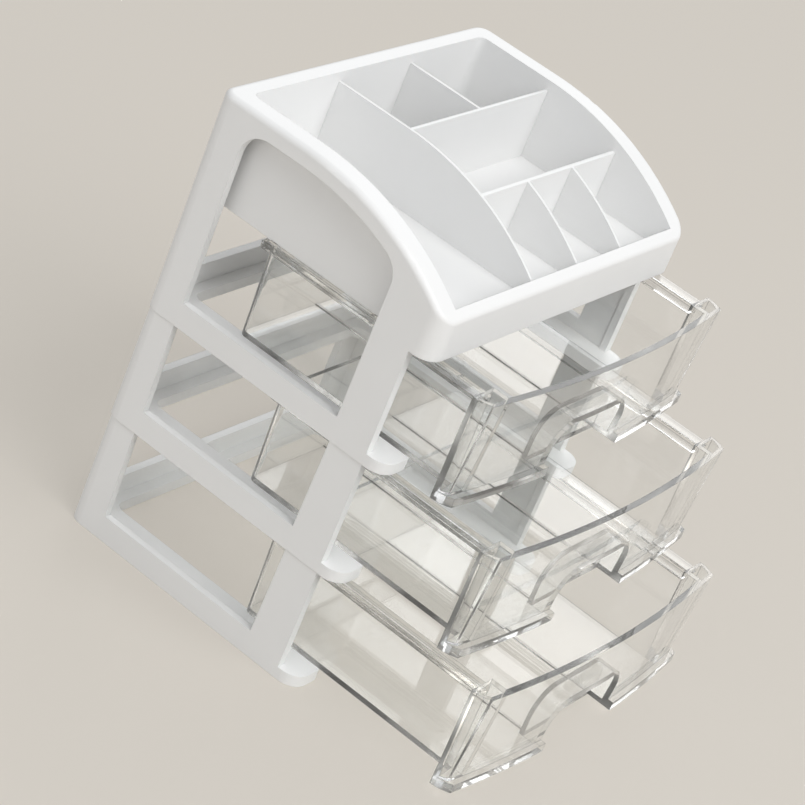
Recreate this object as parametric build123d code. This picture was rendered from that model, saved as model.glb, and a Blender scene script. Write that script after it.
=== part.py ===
from build123d import *
import os
from math import atan, degrees, sqrt

# Outer size of the white frame in millimetres. The front faces -Y and the underside lies at Z = 0.
frame_width = 220
frame_depth = 155
tier_pitch = 65
top_tier_height = 122

# Walls, posts and floor ring shared by the three white tiers.
skin = 4.5
tier_draft = 0.6
back_corner_radius = 8
front_corner_radius = 10
inner_corner_radius = 4
post_setback = 12.5
rear_post_depth = 21
front_post_depth = 21.5
window_flare = 0.9
post_lip_depth = 4
post_lip_thickness = 0.8
sill_height = 13.4
back_rail_height = 17.7
rear_leg_width = 20
floor_height = 6.4
floor_skin = 2.4
strip_width = 22
back_strip_depth = 11
floor_corner_radius = 6
tab_corner_radius = 5

# Tongues on the post tops that plug into sockets under the tier above.
tongue_thickness = 1.8
tongue_height = 3.4
tongue_margin = 3
tongue_clearance = 0.2

# Rim, arched side windows and tray of the top tier.
rim_flat_depth = 56
apron_rise = 21.3
rim_fillet = 3
rim_thickness = 3
rim_width = 12.7
window_band = 9.5
window_corner_radius = 14
tub_wall = 2.7
tub_back_gap = 2.8
tub_corner_radius = 9
tray_corner_radius = 4
tray_floor_rise = 12.3
tray_floor_thickness = 2.4
scoop_foot = 15.8
scoop_top = 4.8
divider_thickness = 1.8
divider_drop = 5.5
long_divider_offset = 25
rear_divider_depth = 56
front_divider_depth = 104.5
upright_share = 0.5

# Clear drawers. The pulls say how far each one stands out of its tier at rest, from the bottom one up.
drawer_pulls = (96, 71, 37)
slide_clearance = 0.3
flange_clearance = 0.8
drawer_front_gap = 0.8
drawer_back_gap = 2.5
drawer_top_gap = 0.6
drawer_wall = 1.8
drawer_corner_radius = 5
strip_overlap = 3
body_flare = 1.2
flange_drop = 2.6
flange_step = 2.2
flange_step_share = 0.5
flange_corner_radius = 5
rib_spacing = 60
rib_width = 1.4
rib_height = 0.8

# Bowed drawer front with its hollow corner pillars, plinth and finger notch.
front_inset = 2
front_wall = 3.2
front_bow = 6.9
front_lean = 3.5
pillar_depth = 10.5
pillar_taper = 3.5
pillar_bulge = 0.8
pillar_wall = 2
pillar_tip_radius = 2
plinth_height = 5
notch_width = 64
notch_height = 27
notch_corner_radius = 14
notch_offset = 2.4
canopy_wall = 1.8

# Tools that cut through a wall run past it by this much.
cut_margin = 5

half_width = frame_width / 2
inner_half = half_width - skin
back_y = frame_depth / 2
front_y = -frame_depth / 2
post_front_y = front_y + post_setback
opening_half = half_width - strip_width
top_base = tier_pitch + tier_pitch
apron_z = top_base + tier_pitch
rim_z = top_base + top_tier_height
rim_bend_y = back_y - rim_flat_depth
rim_run = rim_bend_y - front_y
rim_fall = top_tier_height - tier_pitch - apron_rise
rim_radius = (rim_run**2 + rim_fall**2) / (2 * rim_fall)
tray_half = half_width - rim_width
tray_back_y = back_y - skin - tub_back_gap - tub_wall
tray_floor_z = apron_z + tray_floor_rise


def slab(x_span, y_span, z_span):
    spans = (x_span, y_span, z_span)
    middle = [(low + high) / 2 for low, high in spans]
    size = [high - low for low, high in spans]
    return Pos(*middle) * Box(*size)


def on_both_sides(solid):
    return solid + mirror(solid, about=Plane.YZ)


def across(outline, x_span):
    # An outline drawn in (y, z) becomes a solid between the two x values.
    low, high = x_span
    return Pos(low, 0, 0) * extrude(Plane.YZ * outline, amount=high - low)


def frame_plan(inset, front_radius, back_radius):
    plan = Rectangle(frame_width - 2 * inset, frame_depth - 2 * inset)
    plan = fillet(plan.vertices().sort_by(Axis.Y)[:2], front_radius)
    return fillet(plan.vertices().sort_by(Axis.Y)[-2:], back_radius)


def tier_hollow(base):
    # The drawer space, its doorway between the post lips, and the room in front of the posts.
    floor_top = base + floor_height
    ceiling = base + tier_pitch
    lip_y = post_front_y + post_lip_depth
    lip_half = inner_half - post_lip_thickness
    room = slab((-inner_half, inner_half), (lip_y, back_y - skin), (floor_top, ceiling))
    doorway = slab(
        (-lip_half, lip_half),
        (front_y - cut_margin, lip_y + cut_margin),
        (floor_top, ceiling),
    )
    ahead = slab(
        (-half_width - cut_margin, half_width + cut_margin),
        (front_y - cut_margin, post_front_y),
        (floor_top, ceiling),
    )
    return room + doorway + ahead


def back_window(base):
    reach = half_width - rear_leg_width
    return slab(
        (-reach, reach),
        (back_y - skin - cut_margin, back_y + cut_margin),
        (base + back_rail_height, base + tier_pitch),
    )


def floor_opening(base):
    # Open to the front; the tabs beside it get rounded inner corners.
    length = frame_depth - back_strip_depth
    hole = Pos(0, front_y + length / 2) * Rectangle(2 * opening_half, length)
    hole = fillet(hole.vertices().sort_by(Axis.Y)[-2:], floor_corner_radius)
    ahead = Pos(0, front_y - cut_margin / 2) * Rectangle(frame_width, cut_margin)
    plan = hole + ahead
    throat = plan.vertices().filter_by(lambda v: abs(v.X) < inner_half)
    throat = throat.filter_by(lambda v: abs(v.Y - front_y) < tab_corner_radius)
    plan = fillet(throat, tab_corner_radius)
    return Pos(0, 0, base - cut_margin) * extrude(plan, amount=floor_height + 2 * cut_margin)


def underside_channels(base):
    plan = frame_plan(skin, front_corner_radius - skin, inner_corner_radius)
    reach = (opening_half + floor_skin, half_width)
    length = (front_y, back_y - back_strip_depth)
    depth = floor_height - floor_skin
    strip = slab(reach, length, (base - cut_margin, base + depth))
    inner = Pos(0, 0, base - cut_margin) * extrude(plan, amount=cut_margin + depth)
    return on_both_sides(strip) & inner


def post_spans():
    rear = (back_y - rear_post_depth + tongue_margin, back_y - back_corner_radius)
    front = (post_front_y + tongue_margin, post_front_y + front_post_depth - tongue_margin)
    return (rear, front)


def tongues(base):
    solids = []
    for low, high in post_spans():
        reach = (inner_half, inner_half + tongue_thickness)
        height = (base - tongue_margin, base + tongue_height)
        solids.append(on_both_sides(slab(reach, (low, high), height)))
    return solids


def sockets(base):
    solids = []
    gap = tongue_clearance
    for low, high in post_spans():
        reach = (inner_half - skin, inner_half + tongue_thickness + gap)
        height = (base - cut_margin, base + tongue_height + gap)
        solids.append(on_both_sides(slab(reach, (low - gap, high + gap), height)))
    return solids


def open_floor(tier, base):
    tier -= floor_opening(base)
    tier -= underside_channels(base)
    for socket in sockets(base):
        tier -= socket
    return tier


def lower_tier(base):
    plan = frame_plan(0, front_corner_radius, back_corner_radius)
    taper = degrees(atan(tier_draft / tier_pitch))
    tier = Pos(0, 0, base) * extrude(plan, amount=tier_pitch, taper=taper)
    tier -= tier_hollow(base)
    tier -= back_window(base)
    rear_y = back_y - rear_post_depth
    ahead_y = post_front_y + front_post_depth
    top = base + tier_pitch
    corners = [
        (rear_y, base + sill_height),
        (rear_y + window_flare, top),
        (ahead_y - window_flare, top),
        (ahead_y, base + sill_height),
    ]
    outline = make_face(Polyline(*corners, close=True))
    tier -= across(outline, (-half_width - cut_margin, half_width + cut_margin))
    tier = open_floor(tier, base)
    for tongue in tongues(base + tier_pitch):
        tier += tongue
    return tier


def rim_point(y, drop):
    # Height of the rim line at y, lowered by drop: level at the back, then an arc down to the front.
    if y > rim_bend_y:
        return (y, rim_z - drop)
    reach = rim_radius - drop
    return (y, rim_z - rim_radius + sqrt(reach**2 - (y - rim_bend_y) ** 2))


def under_rim(rear_y, ahead_y, foot_z, drop):
    # Outline in (y, z) below the lowered rim line, between two y values.
    bend = rim_point(rim_bend_y, drop)
    middle = rim_point((rim_bend_y + ahead_y) / 2, drop)
    end = rim_point(ahead_y, drop)
    edges = [
        Polyline((ahead_y, foot_z), (rear_y, foot_z), rim_point(rear_y, drop), bend),
        ThreePointArc(bend, middle, end),
        Line(end, (ahead_y, foot_z)),
    ]
    return make_face(edges)


def arched_windows():
    rear_y = back_y - rear_post_depth
    ahead_y = post_front_y + front_post_depth
    outline = under_rim(rear_y, ahead_y, top_base + sill_height, window_band)
    crown = outline.vertices().filter_by(lambda v: v.Y > apron_z)
    crown = crown.filter_by(lambda v: abs(v.X - rim_bend_y) > window_corner_radius)
    outline = fillet(crown, window_corner_radius)
    tub_half = tray_half + tub_wall
    return on_both_sides(across(outline, ((tub_half + inner_half) / 2, half_width + cut_margin)))


def tray_inside():
    # The tray space up to the open top, with the slanted scoop at its front.
    foot = (front_y + scoop_foot, tray_floor_z)
    lip_y, lip_z = rim_point(front_y + scoop_top, 0)
    top = rim_z + cut_margin
    slope = (lip_y - foot[0]) / (lip_z - tray_floor_z)
    over = (foot[0] + slope * (top - tray_floor_z), top)
    corners = [(tray_back_y, tray_floor_z), foot, over, (tray_back_y, top)]
    outline = make_face(Polyline(*corners, close=True))
    inside = across(outline, (-tray_half, tray_half))
    upright = inside.edges().filter_by(Axis.Z).sort_by(Axis.Y)[-2:]
    return fillet(upright, tray_corner_radius)


def dividers():
    half = divider_thickness / 2
    rear_y = back_y - rear_divider_depth
    ahead_y = back_y - front_divider_depth
    right = (-long_divider_offset, tray_half)
    span = right[1] - right[0]
    height = (tray_floor_z - tray_floor_thickness, rim_z)
    plates = slab((-long_divider_offset - half, -long_divider_offset + half), (front_y, back_y), height)
    for y in (rear_y, ahead_y):
        plates += slab(right, (y - half, y + half), height)
    middle = right[0] + span / 2
    plates += slab((middle - half, middle + half), (rear_y, back_y), height)
    for step in (1, 2):
        x = right[0] + step * span / 3
        plates += slab((x - half, x + half), (front_y, ahead_y), height)
    return plates & across(under_rim(back_y, front_y, apron_z, divider_drop), (-half_width, half_width))


def tub_plan(inset):
    rear = tray_back_y + tub_wall - inset
    ahead = front_y + skin + inset
    plan = RectangleRounded(2 * (tray_half + tub_wall - inset), rear - ahead, tub_corner_radius - inset)
    return Pos(0, (rear + ahead) / 2) * plan


def tray_underside():
    # Hollow below the tray floor and behind the scoop.
    foot_y = front_y + scoop_foot - tray_floor_thickness
    rise = rim_point(front_y + scoop_top, 0)[1] - tray_floor_z
    run = scoop_foot - scoop_top
    under_z = tray_floor_z - tray_floor_thickness
    ahead_y = front_y + skin
    corners = [
        (back_y, apron_z),
        (back_y, under_z),
        (foot_y, under_z),
        (ahead_y, under_z + rise * (foot_y - ahead_y) / run),
        (ahead_y, apron_z),
    ]
    outline = make_face(Polyline(*corners, close=True))
    hollow = across(outline, (-half_width, half_width))
    return hollow & (Pos(0, 0, apron_z) * extrude(tub_plan(tub_wall), amount=rim_z - apron_z))


def top_tier():
    plan = frame_plan(0, front_corner_radius, back_corner_radius)
    wide = (-half_width - cut_margin, half_width + cut_margin)
    tier = Pos(0, 0, top_base) * extrude(plan, amount=top_tier_height)
    past_back = back_y + cut_margin
    past_front = front_y - cut_margin
    tier &= across(under_rim(past_back, past_front, top_base - cut_margin, 0), wide)
    upper = tier.faces().filter_by(lambda f: f.normal_at(f.center()).Z > upright_share)
    tier = fillet([e for e in upper.edges() if abs(e.center().Y - rim_bend_y) > cut_margin], rim_fillet)
    inner_plan = frame_plan(skin, front_corner_radius - skin, inner_corner_radius)
    cavity = Pos(0, 0, apron_z) * extrude(inner_plan, amount=top_tier_height)
    cavity &= across(under_rim(past_back, past_front, top_base, rim_thickness), wide)
    cavity -= Pos(0, 0, apron_z) * extrude(tub_plan(0), amount=top_tier_height)
    tier -= cavity
    tier -= tier_hollow(top_base)
    tier -= back_window(top_base)
    tier -= arched_windows()
    tier -= tray_underside()
    tier -= tray_inside() - dividers()
    return open_floor(tier, top_base)


def front_outline(z, hang_y, rear_y, inset, lean):
    # Plan of a drawer front at one height: two bulged pillar sides and the bowed face.
    rear_half = half_width - front_inset - inset
    tip_half = rear_half - pillar_taper
    tip_y = hang_y - pillar_depth + lean + inset
    side_half = (rear_half + tip_half) / 2 + pillar_bulge
    side_y = (rear_y + tip_y) / 2
    edges = [
        Line((rear_half, rear_y), (-rear_half, rear_y)),
        ThreePointArc((-rear_half, rear_y), (-side_half, side_y), (-tip_half, tip_y)),
        ThreePointArc((-tip_half, tip_y), (0, tip_y - front_bow), (tip_half, tip_y)),
        ThreePointArc((tip_half, tip_y), (side_half, side_y), (rear_half, rear_y)),
    ]
    return Pos(0, 0, z) * make_face(edges)


def front_block(low_z, high_z, hang_y, rear_y, inset):
    # The face leans back towards its foot.
    low = front_outline(low_z, hang_y, rear_y, inset, front_lean)
    high = front_outline(high_z, hang_y, rear_y, inset, 0)
    return loft([low, high], ruled=True)


def front_space(low_z, high_z, hang_y, rear_y, inset):
    # The same form as a cutter, carried on above the top.
    over = extrude(front_outline(high_z, hang_y, rear_y, inset, 0), amount=cut_margin)
    return front_block(low_z, high_z, hang_y, rear_y, inset) + over


def flared_box(low_z, high_z, rear_y, ahead_y, inset, taper):
    # Box with rounded rear corners whose sides open upwards.
    half = opening_half + strip_overlap - inset
    length = rear_y - inset - ahead_y
    plan = Pos(0, ahead_y + length / 2) * Rectangle(2 * half, length)
    plan = fillet(plan.vertices().sort_by(Axis.Y)[-2:], drawer_corner_radius - inset)
    return Pos(0, 0, low_z) * extrude(plan, amount=high_z - low_z, taper=-taper)


def arch(half, low_z, high_z, radius, far_y, near_y):
    face = Pos(0, (low_z + high_z) / 2) * Rectangle(2 * half, high_z - low_z)
    face = fillet(face.vertices().sort_by(Axis.Y)[-2:], radius)
    return Pos(0, far_y, 0) * extrude(Plane.XZ * face, amount=far_y - near_y)


def flange(flange_z, rear_y, ahead_y):
    # Stepped rim along one long side.
    wall_x = opening_half + strip_overlap + body_flare
    edge_x = inner_half - post_lip_thickness - flange_clearance
    step_x = wall_x + (edge_x - wall_x) * flange_step_share
    brim_z = flange_z - flange_step
    corners = [
        (wall_x - drawer_wall, brim_z),
        (step_x - drawer_wall, brim_z),
        (step_x - drawer_wall, flange_z),
        (edge_x, flange_z),
        (edge_x, flange_z - drawer_wall),
        (step_x, flange_z - drawer_wall),
        (step_x, brim_z - drawer_wall),
        (wall_x - drawer_wall, brim_z - drawer_wall),
    ]
    profile = make_face(Polyline(*corners, close=True))
    rim = Pos(0, rear_y, 0) * extrude(Plane.XZ * profile, amount=rear_y - ahead_y)
    corner = rim.edges().filter_by(Axis.Z).group_by(Axis.Y)[-1].sort_by(Axis.X)[-1]
    return fillet(corner, flange_corner_radius)


def drawer(base, pull):
    seat_z = base + floor_height + slide_clearance
    top_z = base + tier_pitch - drawer_top_gap
    flange_z = base + tier_pitch - flange_drop
    brim_z = flange_z - flange_step
    hang_y = post_front_y - drawer_front_gap - pull
    rear_y = back_y - skin - drawer_back_gap - pull
    past_y = hang_y - pillar_depth - front_bow - cut_margin
    taper = degrees(atan(body_flare / (brim_z - seat_z)))

    front = front_block(seat_z, top_z, hang_y, hang_y, 0)
    tips = front.edges().filter_by(lambda e: e.bounding_box().size.Z > plinth_height)
    tips = tips.filter_by(lambda e: e.center().Y < hang_y - pillar_wall)
    front = fillet(tips, pillar_tip_radius)
    front += extrude(front_outline(seat_z, hang_y, hang_y, 0, 0), amount=plinth_height)
    shell = front + flared_box(seat_z, brim_z, rear_y, hang_y - pillar_wall, 0, taper)
    shell += on_both_sides(flange(flange_z, rear_y, hang_y - pillar_wall / 2))

    inside = flared_box(seat_z + drawer_wall, top_z + cut_margin, rear_y, past_y, drawer_wall, taper)
    inside &= front_space(seat_z, top_z, hang_y, rear_y + cut_margin, front_wall)
    shell -= inside
    cell_x = opening_half + strip_overlap + body_flare + drawer_wall
    cell_z = (seat_z + plinth_height, top_z + cut_margin)
    cell = slab((cell_x, half_width), (past_y, hang_y - pillar_wall), cell_z)
    shell -= on_both_sides(cell) & front_space(seat_z, top_z, hang_y, hang_y, pillar_wall)

    notch_y = hang_y - notch_offset
    notch_half = notch_width / 2
    canopy_y = notch_y + canopy_wall
    notch_z = seat_z + notch_height
    round_out = notch_corner_radius + canopy_wall
    canopy = arch(notch_half + canopy_wall, seat_z, notch_z + canopy_wall, round_out, canopy_y, past_y)
    shell += canopy & front_block(seat_z, top_z, hang_y, rear_y, 0)
    rib_z = (seat_z + drawer_wall / 2, seat_z + drawer_wall + rib_height)
    rib_x = ((rib_spacing - rib_width) / 2, (rib_spacing + rib_width) / 2)
    shell += on_both_sides(slab(rib_x, (notch_y + canopy_wall / 2, rear_y - drawer_wall / 2), rib_z))
    shell -= arch(notch_half, seat_z - cut_margin, notch_z, notch_corner_radius, notch_y, past_y)
    return shell


pieces = {
    "bottom_frame": lower_tier(0),
    "middle_frame": lower_tier(tier_pitch),
    "top_frame": top_tier(),
}
drawer_names = ("bottom_drawer", "middle_drawer", "top_drawer")
for level, (name, pull) in enumerate(zip(drawer_names, drawer_pulls)):
    pieces[name] = drawer(level * tier_pitch, pull)

os.makedirs("parts", exist_ok=True)
for name, piece in pieces.items():
    export_step(piece.solid(), f"parts/{name}.step")
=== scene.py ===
import bpy
import numpy as np
from mathutils import Matrix, Vector

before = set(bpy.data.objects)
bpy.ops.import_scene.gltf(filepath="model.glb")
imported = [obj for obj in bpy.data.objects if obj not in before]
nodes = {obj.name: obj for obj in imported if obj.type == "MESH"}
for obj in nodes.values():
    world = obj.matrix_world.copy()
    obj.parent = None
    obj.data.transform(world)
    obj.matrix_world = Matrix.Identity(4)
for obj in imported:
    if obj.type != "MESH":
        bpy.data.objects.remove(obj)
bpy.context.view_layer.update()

print("frame loaded:", sorted(nodes))


# small helpers for node trees

def addNode(tree, kind, spot, **values):
    node = tree.nodes.new(kind)
    node.location = spot
    for key, value in values.items():
        setattr(node, key, value)
    return node


def startGroup(name, inputs, outputs):
    tree = bpy.data.node_groups.new(name, "ShaderNodeTree")
    for label, kind, default in inputs:
        socket = tree.interface.new_socket(name=label, in_out="INPUT", socket_type=kind)
        socket.default_value = default
    for label, kind in outputs:
        tree.interface.new_socket(name=label, in_out="OUTPUT", socket_type=kind)
    source = addNode(tree, "NodeGroupInput", (-900, 0))
    sink = addNode(tree, "NodeGroupOutput", (700, 0))
    return tree, source, sink


def startMaterial(name):
    material = bpy.data.materials.new(name)
    material.use_nodes = True
    tree = material.node_tree
    tree.nodes.clear()
    return material, tree, addNode(tree, "ShaderNodeOutputMaterial", (1100, 0))


def placeGroup(tree, group, spot, **values):
    node = addNode(tree, "ShaderNodeGroup", spot, node_tree=group)
    for key, value in values.items():
        node.inputs[key].default_value = value
    return node


# moulded skin: fine spark grain, slow flow of the plastic and a soft mottle,
# all on object coordinates in metres

def makeMouldedSkin():
    tree, source, sink = startGroup(
        "mouldedSkin",
        [
            ("Grain Scale", "NodeSocketFloat", 2600.0),
            ("Flow Scale", "NodeSocketFloat", 22.0),
            ("Base Roughness", "NodeSocketFloat", 0.4),
            ("Roughness Spread", "NodeSocketFloat", 0.08),
            ("Grain Share", "NodeSocketFloat", 0.6),
        ],
        [
            ("Roughness", "NodeSocketFloat"),
            ("Height", "NodeSocketFloat"),
            ("Mottle", "NodeSocketFloat"),
        ],
    )
    link = tree.links.new
    coord = addNode(tree, "ShaderNodeTexCoord", (-900, 300))
    grain = addNode(tree, "ShaderNodeTexNoise", (-620, 300))
    grain.inputs["Detail"].default_value = 3.0
    flow = addNode(tree, "ShaderNodeTexNoise", (-620, 0))
    flow.inputs["Detail"].default_value = 2.0
    link(coord.outputs["Object"], grain.inputs["Vector"])
    link(coord.outputs["Object"], flow.inputs["Vector"])
    link(source.outputs["Grain Scale"], grain.inputs["Scale"])
    link(source.outputs["Flow Scale"], flow.inputs["Scale"])
    mixed = addNode(tree, "ShaderNodeMix", (-300, 200), data_type="FLOAT")
    link(source.outputs["Grain Share"], mixed.inputs["Factor"])
    link(flow.outputs["Fac"], mixed.inputs["A"])
    link(grain.outputs["Fac"], mixed.inputs["B"])
    centred = addNode(tree, "ShaderNodeMath", (-60, 200), operation="SUBTRACT")
    link(mixed.outputs["Result"], centred.inputs[0])
    centred.inputs[1].default_value = 0.5
    spread = addNode(tree, "ShaderNodeMath", (140, 200), operation="MULTIPLY_ADD")
    link(centred.outputs[0], spread.inputs[0])
    link(source.outputs["Roughness Spread"], spread.inputs[1])
    link(source.outputs["Base Roughness"], spread.inputs[2])
    link(spread.outputs[0], sink.inputs["Roughness"])
    link(mixed.outputs["Result"], sink.inputs["Height"])
    link(flow.outputs["Fac"], sink.inputs["Mottle"])
    return tree


# mould edge: the normal rounded over a small radius,
# and a line that is 1 on an edge and 0 away from it, the mask for the painted edge shade of
# the clear walls

def makeMouldEdge():
    tree, source, sink = startGroup(
        "mouldEdge",
        [("Radius", "NodeSocketFloat", 0.0006), ("Sharpness", "NodeSocketFloat", 4.0)],
        [("Normal", "NodeSocketVector"), ("Line", "NodeSocketFloat")],
    )
    link = tree.links.new
    rounded = addNode(tree, "ShaderNodeBevel", (-600, 0), samples=4)
    link(source.outputs["Radius"], rounded.inputs["Radius"])
    flat = addNode(tree, "ShaderNodeNewGeometry", (-600, -250))
    along = addNode(tree, "ShaderNodeVectorMath", (-350, -100), operation="DOT_PRODUCT")
    link(rounded.outputs["Normal"], along.inputs[0])
    link(flat.outputs["Normal"], along.inputs[1])
    away = addNode(tree, "ShaderNodeMath", (-120, -100), operation="SUBTRACT")
    away.inputs[0].default_value = 1.0
    link(along.outputs["Value"], away.inputs[1])
    line = addNode(tree, "ShaderNodeMath", (100, -100), operation="MULTIPLY", use_clamp=True)
    link(away.outputs[0], line.inputs[0])
    link(source.outputs["Sharpness"], line.inputs[1])
    link(rounded.outputs["Normal"], sink.inputs["Normal"])
    link(line.outputs[0], sink.inputs["Line"])
    return tree


mouldedSkin = makeMouldedSkin()
mouldEdge = makeMouldEdge()
print("shared finish ready")


# white tiers and tray: satin moulded plastic

whitePlastic = {
    "colour": (0.86, 0.86, 0.855, 1.0),
    "shade": (0.825, 0.825, 0.82, 1.0),  # where the melt ran slower
    "roughness": 0.42,
    "spread": 0.10,
    "grainScale": 2400.0,
    "grainShare": 0.7,
    "bump": 0.035,
    "bumpDepth": 0.0002,
    "ior": 1.46,
    "edge": 0.0006,  # soft edge of the mould, metres
}


def makeWhitePlastic(style):
    material, tree, sink = startMaterial("whitePlastic")
    link = tree.links.new
    skin = placeGroup(tree, mouldedSkin, (-500, 0), **{
        "Grain Scale": style["grainScale"],
        "Base Roughness": style["roughness"],
        "Roughness Spread": style["spread"],
        "Grain Share": style["grainShare"],
    })
    tint = addNode(tree, "ShaderNodeMix", (-200, 250), data_type="RGBA")
    tint.inputs["A"].default_value = style["shade"]
    tint.inputs["B"].default_value = style["colour"]
    link(skin.outputs["Mottle"], tint.inputs["Factor"])
    bump = addNode(tree, "ShaderNodeBump", (-200, -250))
    bump.inputs["Strength"].default_value = style["bump"]
    bump.inputs["Distance"].default_value = style["bumpDepth"]
    link(skin.outputs["Height"], bump.inputs["Height"])
    rounding = placeGroup(tree, mouldEdge, (-500, -400), Radius=style["edge"])
    link(rounding.outputs["Normal"], bump.inputs["Normal"])
    shader = addNode(tree, "ShaderNodeBsdfPrincipled", (300, 0))
    shader.inputs["IOR"].default_value = style["ior"]
    link(tint.outputs["Result"], shader.inputs["Base Color"])
    link(skin.outputs["Roughness"], shader.inputs["Roughness"])
    link(bump.outputs["Normal"], shader.inputs["Normal"])
    link(shader.outputs["BSDF"], sink.inputs["Surface"])
    return material


# clear drawers: polished see-through plastic whose shadow stays pale

clearPlastic = {
    "colour": (0.985, 0.99, 0.988, 1.0),
    "paintedEdgeShade": (0.26, 0.263, 0.26, 1.0),  # painted shade: dark lines along the edges of the walls, where light is lost in the plastic
    "edge": 0.0006,
    "edgeSharpness": 9.0,
    "shadow": (0.92, 0.925, 0.92, 1.0),
    "caughtGlow": (0.19, 0.188, 0.18, 1.0),  # painted light: rays caught inside a wall end on a flat grey glow
    "caughtBounces": 2.0,
    "roughness": 0.008,
    "spread": 0.012,
    "grainScale": 900.0,
    "grainShare": 0.02,
    "flowScale": 30.0,
    "ior": 1.18,  # thin walls hardly bend what shows through them
    "clearness": 1.0,
    "gloss": 1.0,  # the coat gives the full gloss of the plastic
    "glossIor": 1.5,
    "bump": 0.01,
    "bumpDepth": 0.0004,
}


def makeClearPlastic(style):
    material, tree, sink = startMaterial("clearPlastic")
    link = tree.links.new
    skin = placeGroup(tree, mouldedSkin, (-500, 0), **{
        "Grain Scale": style["grainScale"],
        "Flow Scale": style["flowScale"],
        "Base Roughness": style["roughness"],
        "Roughness Spread": style["spread"],
        "Grain Share": style["grainShare"],
    })
    bump = addNode(tree, "ShaderNodeBump", (-200, -250))
    bump.inputs["Strength"].default_value = style["bump"]
    bump.inputs["Distance"].default_value = style["bumpDepth"]
    link(skin.outputs["Height"], bump.inputs["Height"])
    shader = addNode(tree, "ShaderNodeBsdfPrincipled", (200, 0))
    shader.inputs["IOR"].default_value = style["ior"]
    shader.inputs["Transmission Weight"].default_value = style["clearness"]
    shader.inputs["Coat Weight"].default_value = style["gloss"]
    shader.inputs["Coat IOR"].default_value = style["glossIor"]
    shader.inputs["Coat Roughness"].default_value = style["roughness"]
    edgeShadeMask = placeGroup(tree, mouldEdge, (-500, 350), **{
        "Radius": style["edge"],
        "Sharpness": style["edgeSharpness"],
    })
    # painted shade: the base colour turns dark grey along the edges of the walls
    tint = addNode(tree, "ShaderNodeMix", (-200, 250), data_type="RGBA")
    tint.inputs["A"].default_value = style["colour"]
    tint.inputs["B"].default_value = style["paintedEdgeShade"]
    link(edgeShadeMask.outputs["Line"], tint.inputs["Factor"])
    link(tint.outputs["Result"], shader.inputs["Base Color"])
    link(skin.outputs["Roughness"], shader.inputs["Roughness"])
    link(bump.outputs["Normal"], shader.inputs["Normal"])
    path = addNode(tree, "ShaderNodeLightPath", (0, 500))
    caughtGlow = addNode(tree, "ShaderNodeMath", (200, 350), operation="GREATER_THAN")
    caughtGlow.inputs[1].default_value = style["caughtBounces"]
    link(path.outputs["Glossy Depth"], caughtGlow.inputs[0])
    # painted light: past two glossy bounces the clear walls show a flat grey glow instead of
    # the plastic
    paintedGlow = addNode(tree, "ShaderNodeEmission", (400, -350))
    paintedGlow.inputs["Color"].default_value = style["caughtGlow"]
    walls = addNode(tree, "ShaderNodeMixShader", (650, 0))
    link(caughtGlow.outputs[0], walls.inputs[0])
    link(shader.outputs["BSDF"], walls.inputs[1])
    link(paintedGlow.outputs["Emission"], walls.inputs[2])
    shadow = addNode(tree, "ShaderNodeBsdfTransparent", (650, -350))
    shadow.inputs["Color"].default_value = style["shadow"]
    joined = addNode(tree, "ShaderNodeMixShader", (850, 0))
    link(path.outputs["Is Shadow Ray"], joined.inputs[0])
    link(walls.outputs["Shader"], joined.inputs[1])
    link(shadow.outputs["BSDF"], joined.inputs[2])
    link(joined.outputs["Shader"], sink.inputs["Surface"])
    material.cycles.emission_sampling = "NONE"  # the painted glow only shows, it lights nothing
    return material


whiteFinish = makeWhitePlastic(whitePlastic)
clearFinish = makeClearPlastic(clearPlastic)
for name in ("top_frame", "middle_frame", "bottom_frame"):
    nodes[name].material_slots[0].material = whiteFinish
for name in ("top_drawer", "middle_drawer", "bottom_drawer"):
    nodes[name].material_slots[0].material = clearFinish
print("tiers and drawers dressed")


# floor: a wide pale sheet under the box

floorSheet = {
    "reach": 5.0,
    "steps": 24,
    "colour": (0.635, 0.595, 0.54, 1.0),
    "roughness": 0.85,
    "grainScale": 300.0,
    "flowScale": 3.0,
    "glow": (0.655, 0.615, 0.555, 1.0),  # the pale backdrop, also seen through the drawers
    "glowShare": 0.5,  # the rest keeps the shadow
}


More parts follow.
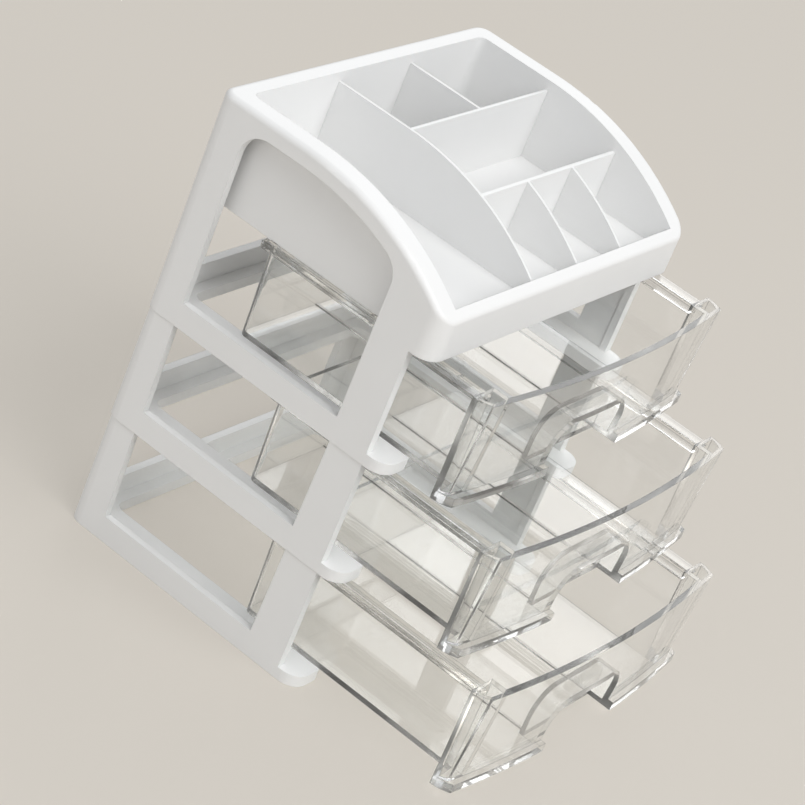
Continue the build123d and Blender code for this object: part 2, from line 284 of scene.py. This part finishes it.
def makeFloor(style):
    # grid over (u, v) in -1..1 scaled by the reach, all at z = 0
    count = style["steps"] + 1
    u, v = np.meshgrid(np.linspace(-1, 1, count), np.linspace(-1, 1, count))
    flat = [u * style["reach"], v * style["reach"], np.zeros_like(u)]
    points = np.stack(flat, axis=-1).reshape(-1, 3)
    index = np.arange(count * count).reshape(count, count)
    corners = [index[:-1, :-1], index[:-1, 1:], index[1:, 1:], index[1:, :-1]]
    faces = np.stack(corners, axis=-1).reshape(-1, 4)
    mesh = bpy.data.meshes.new("floor")
    mesh.from_pydata(points.tolist(), [], faces.tolist())
    floor = bpy.data.objects.new("floor", mesh)
    bpy.context.scene.collection.objects.link(floor)
    material, tree, sink = startMaterial("floorPaint")
    skin = placeGroup(tree, mouldedSkin, (-500, 0), **{
        "Grain Scale": style["grainScale"],
        "Flow Scale": style["flowScale"],
        "Base Roughness": style["roughness"],
    })
    shader = addNode(tree, "ShaderNodeBsdfPrincipled", (300, 0))
    shader.inputs["Base Color"].default_value = style["colour"]
    link = tree.links.new
    link(skin.outputs["Roughness"], shader.inputs["Roughness"])
    glow = addNode(tree, "ShaderNodeEmission", (300, -350))
    glow.inputs["Color"].default_value = style["glow"]
    path = addNode(tree, "ShaderNodeLightPath", (-200, 500))
    eye = path.outputs["Is Camera Ray"]
    for kind in ("Is Glossy Ray", "Is Transmission Ray"):
        either = addNode(tree, "ShaderNodeMath", (0, 400), operation="MAXIMUM")
        link(eye, either.inputs[0])
        link(path.outputs[kind], either.inputs[1])
        eye = either.outputs[0]
    share = addNode(tree, "ShaderNodeMath", (300, 300), operation="MULTIPLY")
    share.inputs[1].default_value = style["glowShare"]
    link(eye, share.inputs[0])
    both = addNode(tree, "ShaderNodeMixShader", (700, 0))
    link(share.outputs[0], both.inputs[0])
    link(shader.outputs["BSDF"], both.inputs[1])
    link(glow.outputs["Emission"], both.inputs[2])
    link(both.outputs["Shader"], sink.inputs["Surface"])
    mesh.materials.append(material)


makeFloor(floorSheet)


# light: an even pale room, one wide lamp high in front, a weak one at the left
# and a panel behind for the gloss

roomLight = {"colour": (0.97, 0.985, 1.0, 1.0), "strength": 0.52}
lampAim = (0.0, 0.0, 0.12)  # about the middle of the box
lamps = {
    "highFront": {"spot": (-0.35, -1.6, 2.2), "size": 2.4, "watts": 48.0},
    "leftFill": {"spot": (-1.9, 0.1, 0.7), "size": 1.2, "watts": 3.0},
    "rearPanel": {"spot": (2.36, 1.15, 1.56), "size": 2.0, "watts": 14.0},
}
# the clear walls stand behind one another
bounceLimit = {"all": 24, "transmission": 24, "glossy": 8}


def lightScene():
    scene = bpy.context.scene
    world = bpy.data.worlds.new("room")
    world.use_nodes = True
    back = world.node_tree.nodes["Background"]
    back.inputs["Color"].default_value = roomLight["colour"]
    back.inputs["Strength"].default_value = roomLight["strength"]
    scene.world = world
    for name, style in lamps.items():
        lamp = bpy.data.lights.new(name, "AREA")
        lamp.shape = "DISK"
        lamp.size = style["size"]
        lamp.energy = style["watts"]
        holder = bpy.data.objects.new(name, lamp)
        spot = Vector(style["spot"])
        holder.location = spot
        turn = (Vector(lampAim) - spot).to_track_quat("-Z", "Y")
        holder.rotation_euler = turn.to_euler()
        scene.collection.objects.link(holder)
    scene.view_settings.view_transform = "Standard"
    scene.cycles.max_bounces = bounceLimit["all"]
    scene.cycles.transmission_bounces = bounceLimit["transmission"]
    scene.cycles.glossy_bounces = bounceLimit["glossy"]


lightScene()


# camera: the photograph's view, from the left and above with a strong roll

viewPoint = {
    "eye": (-1.1971, -0.6010, 0.8440),
    "forward": (0.7857, 0.3822, -0.4864),
    "right": (0.5723, -0.7476, 0.3369),
    "lens": 134.6,
    "sensor": 36.0,
    "farEnd": 50.0,
}


def placeCamera(style):
    data = bpy.data.cameras.new("photoView")
    data.lens = style["lens"]
    data.sensor_width = style["sensor"]
    data.sensor_fit = "HORIZONTAL"
    data.clip_end = style["farEnd"]
    camera = bpy.data.objects.new("photoView", data)
    back = -Vector(style["forward"]).normalized()
    right = Vector(style["right"])
    right = (right - back * right.dot(back)).normalized()
    turn = Matrix((right, back.cross(right), back)).transposed().to_4x4()
    camera.matrix_world = Matrix.Translation(style["eye"]) @ turn
    bpy.context.scene.collection.objects.link(camera)
    bpy.context.scene.camera = camera


placeCamera(viewPoint)
print("stage, light and camera set")
